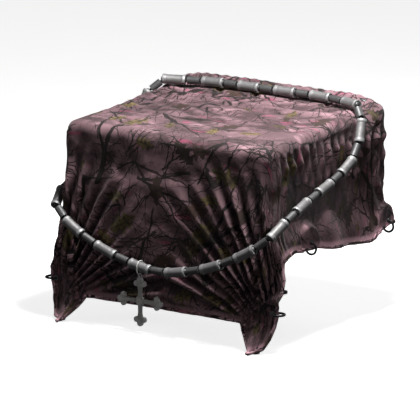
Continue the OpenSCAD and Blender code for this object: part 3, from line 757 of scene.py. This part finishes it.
def ground(net, uv, tones):
    """The print's ground: clouds, streaks, smudges and magenta marks."""
    cloud = net.noise(uv, 5.0, 4.0, 0.6)
    color = net.mix(net.ramp(cloud, 0.34, 0.66), rgb(*tones[0]), rgb(*tones[1]))
    streak = net.noise(net.place(net.warp(uv, 5.0, 0.05), turn=0.5, stretch=(5, 14, 1)), 1.8, 4.0, 0.6)
    color = net.mix(net.math("MULTIPLY", net.ramp(streak, 0.52, 0.76), 0.65), color, rgb(*tones[2]))
    smudge = net.noise(net.place(uv, move=(3, 1, 0), turn=-0.7, stretch=(4, 7, 1)), 2.4, 5.0, 0.65)
    color = net.mix(net.math("MULTIPLY", net.ramp(smudge, 0.46, 0.60), 0.85), color, SMUDGE)
    mark = net.noise(net.place(uv, move=(7, 2, 0), turn=0.9, stretch=(4, 17, 1)), 2.0, 4.0, 0.6)
    return net.mix(net.math("MULTIPLY", net.ramp(mark, 0.60, 0.68), 0.50), color, MAGENTA)


def twigs(net, uv, color):
    """Dark sticks and branches over a colour."""
    bark = net.noise(net.place(uv, stretch=(60, 240, 1)), 1.0, 3.0, 0.7)
    dark = net.mix(bark, BARK_DARK, BARK_LIGHT)
    crooked = net.warp(net.warp(uv, 16.0, 0.030), 60.0, 0.007)
    for stick in STICKS:
        color = net.mix(net.math("MULTIPLY", stick_layer(net, crooked, *stick), 0.97), color, dark)
    bent = net.warp(net.warp(uv, 9.0, 0.05), 42.0, 0.012)
    for branch in BRANCHES:
        color = net.mix(net.math("MULTIPLY", branch_layer(net, bent, uv, *branch), 0.96), color, dark)
    return color


def foliage(net, uv, color):
    """Spotted leaves with a vein, over a colour."""
    ruffled = net.warp(uv, 60.0, 0.010)
    for scale, move, length, width, waves, share, light, deep in LEAVES:
        mask, pick, vein = leaf_layer(net, ruffled, scale, move, length, width, length * waves, share)
        leaf = net.mix(pick, light, deep)
        leaf = net.mix(net.math("MULTIPLY", vein, 0.6), leaf, LEAF_VEIN)
        leaf = net.mix(net.ramp(net.noise(uv, 70.0, 3.0), 0.4, 0.65), leaf, LEAF_SPOT)
        color = net.mix(net.math("MULTIPLY", mask, 0.95), color, leaf)
    return color


def camouflage(name, slot, tones, wear_and_painted_light):
    """Brushed cloth printed with a generic pattern of twigs and leaves. With the flag set,
    the folds' crests get a painted highlight, the fold hollows painted shade, and a band just above the hem
    a painted highlight."""
    net = Net(name, slot)
    uv = net.add("ShaderNodeUVMap", uv_map="flat").outputs[0]
    color = ground(net, uv, tones)
    if wear_and_painted_light:
        marks = net.add("ShaderNodeVertexColor", layer_name="crest").outputs["Color"]
        crest, band = split(net, marks, 0), split(net, marks, 1)
        # Painted highlight: the folds' crests are paler.
        crest_highlight = net.ramp(crest, 0.60, 1.0)
        color = net.mix(net.math("MULTIPLY", crest_highlight, 0.26), color, PAINTED_CREST_HIGHLIGHT)
    color = foliage(net, uv, twigs(net, uv, color))
    if wear_and_painted_light:
        # Painted shade: the fold hollows are darker.
        hollow = net.ramp(crest, 0.05, 0.55, 1.0, 0.0)
        color = net.mix(net.math("MULTIPLY", hollow, 0.55), color, PAINTED_HOLLOW_SHADE)
        # Painted highlight: a paler band just above the hem.
        color = net.mix(net.math("MULTIPLY", band, 0.55), color, PAINTED_HEM_HIGHLIGHT)
    warp_yarn, weft_yarn = (
        net.math("SINE", net.math("MULTIPLY", split(net, uv, k), TAU / THREAD)) for k in (0, 1))
    weave = net.math("MULTIPLY", warp_yarn, weft_yarn)
    fuzz = net.noise(uv, 900.0, 2.0)
    tufts = net.math("MULTIPLY", net.ramp(fuzz, 0.3, 0.7), 0.18)
    color = net.mix(tufts, color, FUZZ, "MULTIPLY")
    normal = net.bump(net.noise(uv, 38.0, 5.0, 0.6), 0.4, 0.0035)
    normal = net.bump(weave, 0.25, 0.0003, normal)
    rough = net.ramp(fuzz, 0.2, 0.8, 0.66, 0.86)
    return net.finish(color, rough, normal,
                      Sheen_Weight=0.15, Sheen_Roughness=0.4, Specular_IOR_Level=0.35)


def metal(name, slot, base, wear_and_painted_light, rough, metallic=1.0):
    """Metal or a painted tube, with rubbed high spots, dirt in patches and fine pits."""
    net = Net(name, slot)
    place = net.add("ShaderNodeTexCoord").outputs["Object"]
    cloud = net.ramp(net.noise(place, 38.0, 4.0, 0.6), 0.35, 0.68)
    color = net.mix(net.math("MULTIPLY", cloud, 0.35), base, scaled(base, 0.45))
    point = net.add("ShaderNodeNewGeometry").outputs["Pointiness"]
    uneven = net.math("MULTIPLY", net.noise(place, 260.0, 3.0), 0.04)
    rubbed = net.ramp(net.math("ADD", point, uneven), 0.525, 0.575)
    color = net.mix(net.math("MULTIPLY", rubbed, 0.75), color, wear_and_painted_light)
    normal = net.bump(net.noise(place, 520.0, 4.0, 0.65), 0.22, 0.0006)
    normal = net.bump(net.noise(place, 90.0, 3.0), 0.25, 0.0012, normal)
    roughness = net.ramp(net.noise(place, 150.0, 3.0), 0.3, 0.7, rough - 0.08, rough + 0.12)
    return net.finish(color, roughness, normal, Metallic=metallic)


def moulded(name, slot, base, rough, specks, depth):
    """Rubber or plastic, with a fine moulded grain and dusty patches."""
    net = Net(name, slot)
    place = net.add("ShaderNodeTexCoord").outputs["Object"]
    dust = net.ramp(net.noise(place, 45.0, 4.0, 0.6), 0.50, 0.78)
    color = net.mix(net.math("MULTIPLY", dust, 0.35), base, rgb(96, 90, 86))
    grain = net.voronoi(place, specks)
    normal = net.bump(grain.outputs["Distance"], 0.35, depth)
    return net.finish(color, net.ramp(dust, 0, 1, rough, rough + 0.12), normal)


def woven(name, slot, base, pitch, axis):
    """Woven strap: ribs across it, and paler crossings."""
    net = Net(name, slot)
    place = net.add("ShaderNodeTexCoord").outputs["Object"]
    a = net.math("SINE", net.math("MULTIPLY", split(net, place, axis), TAU / pitch))
    b = net.math("SINE", net.math("MULTIPLY", split(net, place, 1 - axis), TAU / (pitch * 1.7)))
    c = net.math("SINE", net.math("MULTIPLY", split(net, place, 2), TAU / pitch))
    rib = net.math("MULTIPLY", net.math("ADD", a, c), b)
    fuzz = net.noise(place, 300.0, 4.0, 0.7)
    color = net.mix(net.ramp(rib, -1.2, 1.2, 0.1, 0.8), base, scaled(base, 2.4))
    color = net.mix(net.math("MULTIPLY", fuzz, 0.3), color, rgb(70, 66, 66))
    normal = net.bump(rib, 0.5, 0.0006)
    return net.finish(color, net.ramp(fuzz, 0.3, 0.7, 0.75, 0.92), normal, Sheen_Weight=0.2)


def floor_finish():
    """Nearly white, and bright enough to meet the white background."""
    net = Net("floor", None)
    place = net.add("ShaderNodeTexCoord").outputs["Object"]
    tone = net.ramp(net.noise(place, 3.0, 3.0), 0.3, 0.7)
    color = net.mix(tone, rgb(240, 239, 238), rgb(245, 244, 243))
    return net.finish(color, 0.9, Emission_Color=(1, 1, 1, 1), Emission_Strength=0.80)[0]


def dress(obj, finish):
    """Gives an object its finish."""
    material, slot = finish
    obj.data.materials.clear()
    obj.data.materials.append(material)


# --- the cover ---
COVER_NODES = ["cover_top", "cover_front", "cover_left", "cover_right", "cover_rear", "leg_flap_left",
               "leg_flap_right"]
cover, cover_grid = build_cloth()
hem = tube_along("cover_hem", cover_grid[-1], HEM_RADIUS)
thick = cover.modifiers.new("cloth thickness", "SOLIDIFY")
thick.thickness, thick.offset = CLOTH_THICK, -1

PRINT = [(94, 71, 76), (138, 107, 113), (220, 174, 183)]
# The hem's tones are paler than the cloth's print: a painted highlight along the rolled hem.
HEM_PRINT_WITH_PAINTED_HIGHLIGHT = [(206, 158, 170), (232, 188, 198), (248, 214, 222)]
dress(cover, camouflage("camouflage cloth", "cover_cloth", PRINT, True))
dress(hem, camouflage("camouflage hem", "cover_cloth", HEM_PRINT_WITH_PAINTED_HIGHLIGHT, False))
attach(cover, "frame")
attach(hem, "frame")
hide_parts(*COVER_NODES)

# --- the frame, chain and rings keep their CAD shape, and get their finish ---
GUNMETAL, PEWTER = rgb(138, 136, 136), rgb(206, 204, 202)
FINISHES = {
    "webbing": woven("webbing", "webbing", rgb(26, 26, 28), 0.0022, 0),
    "eyelets": metal("dark nickel", "eyelets", rgb(92, 92, 94), rgb(160, 160, 160), 0.38),
    "cast_fittings": metal("cast fittings", "cast_fittings", rgb(70, 70, 74), rgb(140, 140, 142), 0.45),
    "hinge_bolts": metal("zinc bolts", "hinge_bolts", rgb(168, 168, 172), rgb(210, 210, 212), 0.32),
    "frame_tube": metal("coated tube", "frame_tube", rgb(30, 30, 32), rgb(120, 120, 122), 0.42, 0.2),
    "rubber_feet": moulded("rubber", "rubber_feet", rgb(26, 26, 27), 0.78, 700.0, 0.0006),
    "knobs": moulded("knob plastic", "knobs", rgb(30, 30, 33), 0.50, 1400.0, 0.0003),
    "chain_barrels": metal("gunmetal barrels", "chain_barrels", GUNMETAL, rgb(176, 176, 176), 0.56, 0.6),
    "chain_rods": metal("gunmetal rods", "chain_rods", rgb(66, 65, 65), rgb(110, 110, 110), 0.50, 0.7),
    "chain_pins": metal("dark pins", "chain_pins", rgb(40, 39, 39), rgb(90, 90, 90), 0.5),
    "pendant": metal("aged pewter", "pendant", PEWTER, rgb(238, 236, 234), 0.5, 0.2),
    "rings": metal("dark rings", "rings", rgb(44, 44, 46), rgb(104, 104, 106), 0.42, 0.75),
}
for part in frame["record"]["subparts"]:
    node, slot_name = part["node"], part["material_slot"]
    if node in COVER_NODES:
        continue
    obj = NODES[node]
    dress(obj, FINISHES[slot_name])
    obj.data.shade_smooth()
    if node == "pendant_cross":
        flats = obj.modifiers.new("join flats", "DECIMATE")
        flats.decimate_type, flats.angle_limit = "DISSOLVE", math.radians(2)
        round_off = obj.modifiers.new("cast edges", "BEVEL")
        round_off.width, round_off.segments, round_off.limit_method = 0.0034, 4, "ANGLE"
        round_off.angle_limit = math.radians(50)
    keen = obj.modifiers.new("keen edges", "EDGE_SPLIT")
    keen.split_angle = math.radians(38)

# --- stage, light and camera ---
FLOOR_RADIUS, FLOOR_GAP = 7, 0.002
scene = bpy.context.scene
bpy.ops.mesh.primitive_circle_add(vertices=96, radius=FLOOR_RADIUS, fill_type="NGON",
                                  location=(0, 0, cad_low[2] - FLOOR_GAP))
floor = bpy.context.object
floor.name = "floor"
floor.data.materials.append(floor_finish())
floor.visible_diffuse = False
floor.visible_glossy = False


def lamp(name, place, aim, size, power):
    """A white disc light of a width in metres and a power in watts."""
    data = bpy.data.lights.new(name, "AREA")
    data.shape, data.size, data.energy = "DISK", size, power
    obj = bpy.data.objects.new(name, data)
    obj.location = place
    obj.rotation_euler = (Vector(aim) - Vector(place)).to_track_quat("-Z", "Y").to_euler()
    scene.collection.objects.link(obj)


lamp("key above", (0.45, -0.30, 2.25), (0.1, 0, 0.5), 0.45, 80)
lamp("fill left", (-3.0, -2.4, 1.5), (0, 0, 0.3), 0.9, 8)
lamp("fill right", (3.2, -1.2, 1.0), (0, 0, 0.3), 0.9, 9)
lamp("back", (0.8, 3.0, 2.2), (0, 0, 0.4), 1.4, 20)

# A faint light from all round, and a white background for the camera.
AMBIENT = 0.05
world = bpy.data.worlds.new("studio")
scene.world = world
world.use_nodes = True
shell = world.node_tree
ambient = shell.nodes["Background"]
ambient.inputs["Color"].default_value = (1, 1, 1, 1)
ambient.inputs["Strength"].default_value = AMBIENT
backdrop = shell.nodes.new("ShaderNodeBackground")
backdrop.inputs["Color"].default_value = (1, 1, 1, 1)
seen = shell.nodes.new("ShaderNodeLightPath")
either = shell.nodes.new("ShaderNodeMixShader")
shell.links.new(seen.outputs["Is Camera Ray"], either.inputs[0])
shell.links.new(ambient.outputs[0], either.inputs[1])
shell.links.new(backdrop.outputs[0], either.inputs[2])
shell.links.new(either.outputs[0], shell.nodes["World Output"].inputs[0])
scene.view_settings.view_transform = "Standard"

# The photo's view: a far camera with a long lens, aimed a little off the middle.
AZIMUTH, ELEVATION, DISTANCE = math.radians(33.76), math.radians(13.31), 14.0
LENS, MIDDLE_Y, SHIFT_LEFT, SHIFT_UP = 385, 0.0098, 0.0257, 0.0308
right = Vector((math.cos(AZIMUTH), math.sin(AZIMUTH), 0))
back = Vector((math.sin(AZIMUTH) * math.cos(ELEVATION), -math.cos(AZIMUTH) * math.cos(ELEVATION),
               math.sin(ELEVATION)))
up = back.cross(right)
target = Vector((0, MIDDLE_Y, 0.300)) - right * SHIFT_LEFT + up * SHIFT_UP
data = bpy.data.cameras.new("camera")
data.lens, data.sensor_width = LENS, 36
data.clip_start, data.clip_end = 1, 100
camera = bpy.data.objects.new("camera", data)
camera.location = target + back * DISTANCE
camera.rotation_euler = (-back).to_track_quat("-Z", "Y").to_euler()
scene.collection.objects.link(camera)
scene.camera = camera
